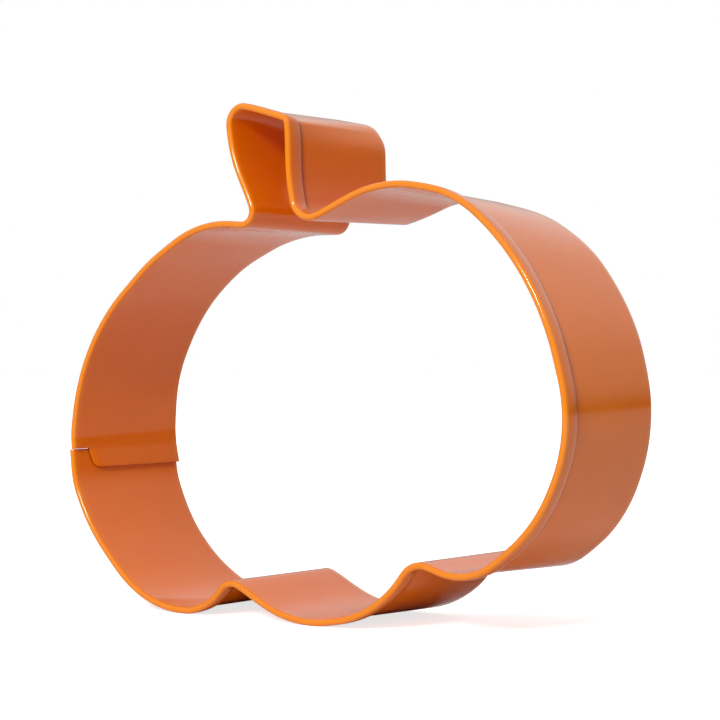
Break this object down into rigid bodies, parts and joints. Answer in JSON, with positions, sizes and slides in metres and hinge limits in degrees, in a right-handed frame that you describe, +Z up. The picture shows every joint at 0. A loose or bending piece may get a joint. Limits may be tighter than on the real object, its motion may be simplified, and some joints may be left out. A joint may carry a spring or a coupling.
{
  "type": "cookie cutter",
  "caption": "Pumpkin outline cookie cutter: one strip of orange enamelled tinplate with a hemmed rim, lapped and spot welded at the side.",
  "frame": {"origin": "on the table under the middle of the standing cutter: middle of its width and depth, at the height of the two bottom scallops it stands on", "axes": "+X across the outline to the right as seen from the hemmed rim, +Y from the hemmed rim to the cutting edge, +Z up through the stem, which leans to the left"},
  "size_m": [0.102, 0.025, 0.0831],
  "materials": {
    "orange_enamel": "glossy",
    "weld_steel": "satin"
  },
  "bodies": {
    "root": {"hemmed_strip": "orange_enamel", "spot_welds": "weld_steel"}
  },
  "joints": []
}
